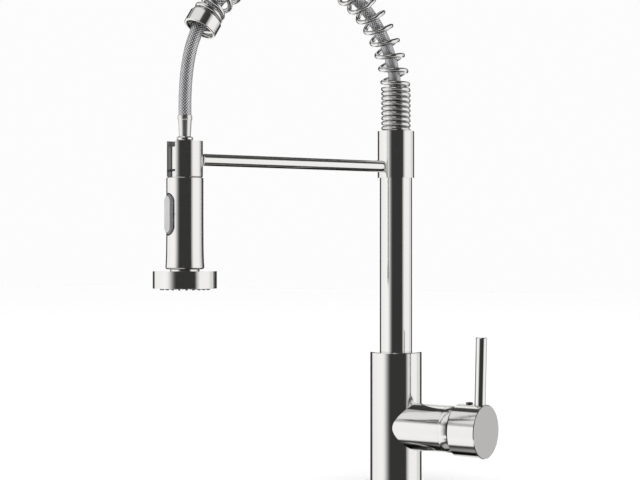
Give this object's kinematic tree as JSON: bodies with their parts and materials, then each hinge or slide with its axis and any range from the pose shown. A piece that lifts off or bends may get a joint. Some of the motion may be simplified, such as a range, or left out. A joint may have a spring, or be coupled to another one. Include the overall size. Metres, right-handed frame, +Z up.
{
  "type": "pull-down kitchen faucet",
  "caption": "Single-lever kitchen faucet with a coil-spring arch, a docking arm and a pull-down spray head with a toggle button and wide round face.",
  "frame": {"origin": "centre of the deck hole, on the body axis, in the plane of the flange's underside", "axes": "+Z up along the body and column, +X along the side branch towards the lever"},
  "size_m": [0.2172, 0.2702, 0.5538],
  "materials": {
    "brushed_steel": "fine brushed stainless steel with a soft shine",
    "spring_steel": "drawn stainless spring wire, bright",
    "satin_button": "zinc casting with a satin nickel plating",
    "fastener_steel": "plain steel",
    "brass": "machined brass",
    "black_rubber": "moulded rubber",
    "white_acetal": "moulded acetal",
    "ceramic": "ground ceramic",
    "braided_hose": "silver-grey diamond braid of metallised nylon over a flexible hose"
  },
  "bodies": {
    "base": {"faucet_body": "brushed_steel", "base_flange": "brushed_steel", "base_gasket": "black_rubber", "shank": "brass", "deck_washer": "black_rubber", "clamp_washer": "fastener_steel", "mounting_nut": "brass", "nut_screws": "fastener_steel", "swivel_bushes": "white_acetal", "spout_lock_screw": "fastener_steel", "cartridge_case": "white_acetal", "cartridge_seals": "black_rubber", "fixed_disc": "ceramic", "cartridge_nut": "brass", "trim_ring": "brushed_steel"},
    "mixer": {"stem_carrier": "white_acetal", "stem_pin": "fastener_steel"},
    "valve_disc": {"moving_disc": "ceramic"},
    "handle": {"cartridge_stem": "brass", "handle_cap": "brushed_steel", "lever_rod": "brushed_steel", "handle_screw": "fastener_steel"},
    "spout": {"column_tube": "brushed_steel", "column_foot": "brass", "foot_o_rings": "black_rubber", "column_collar": "brushed_steel", "collar_screw": "fastener_steel", "top_fitting": "brass", "spring_boss": "brushed_steel", "arm_rod": "brushed_steel", "dock_cup": "brushed_steel", "neck_spring": "spring_steel", "pull_hose": "braided_hose", "lower_ferrule": "fastener_steel"},
    "hose_end": {"spring_end_cap": "brushed_steel", "crimp_sleeve": "brushed_steel", "hose_nut": "brushed_steel"},
    "head": {"head_shell": "brushed_steel", "head_neck": "brushed_steel", "neck_o_ring": "black_rubber", "hose_washer": "black_rubber", "check_valve": "white_acetal", "spray_chamber": "white_acetal", "button_pin": "fastener_steel", "spray_disc": "brushed_steel", "nozzle_plate": "black_rubber", "aerator": "white_acetal"},
    "button": {"toggle_button": "satin_button"},
    "plunger": {"diverter_plunger": "brass"}
  },
  "joints": [
    {"name": "spout_swivel", "type": "hinge", "parent": "base", "child": "spout", "pos_m": [0, 0, 0.1], "axis": [0, 0, 1], "continuous": true},
    {"name": "handle_temperature", "type": "hinge", "parent": "base", "child": "mixer", "pos_m": [0.062, 0, 0.0585], "axis": [1, 0, 0], "range_deg": [-50, 50]},
    {"name": "handle_flow", "type": "hinge", "parent": "mixer", "child": "handle", "pos_m": [0.062, 0, 0.0585], "axis": [0, 1, 0], "range_deg": [0, 24]},
    {"name": "disc_slide", "type": "slide", "parent": "mixer", "child": "valve_disc", "axis": [0, 0, 1], "range_m": [0, 0.006]},
    {"name": "head_pull", "type": "slide", "parent": "spout", "child": "hose_end", "axis": [0, 0, -1], "range_m": [0, 0.095], "stiffness_N_per_m": 30, "springref_m": -0.35, "deforming": ["neck_spring", "pull_hose"]},
    {"name": "head_turn", "type": "hinge", "parent": "hose_end", "child": "head", "pos_m": [-0.08987, -0.21172, 0.324], "axis": [0, 0, 1], "continuous": true},
    {"name": "button_rock", "type": "hinge", "parent": "head", "child": "button", "pos_m": [-0.09495, -0.22368, 0.26], "axis": [0.9205, -0.3907, 0], "range_deg": [-3.5, 3.5]},
    {"name": "plunger_slide", "type": "slide", "parent": "head", "child": "plunger", "axis": [0.3907, 0.9205, 0], "range_m": [-0.0008, 0.0008]}
  ],
  "couplings": [
    {"joint": "disc_slide", "follows": "handle_flow", "m_per_rad": 0.0138},
    {"joint": "plunger_slide", "follows": "button_rock", "m_per_rad": 0.011}
  ]
}
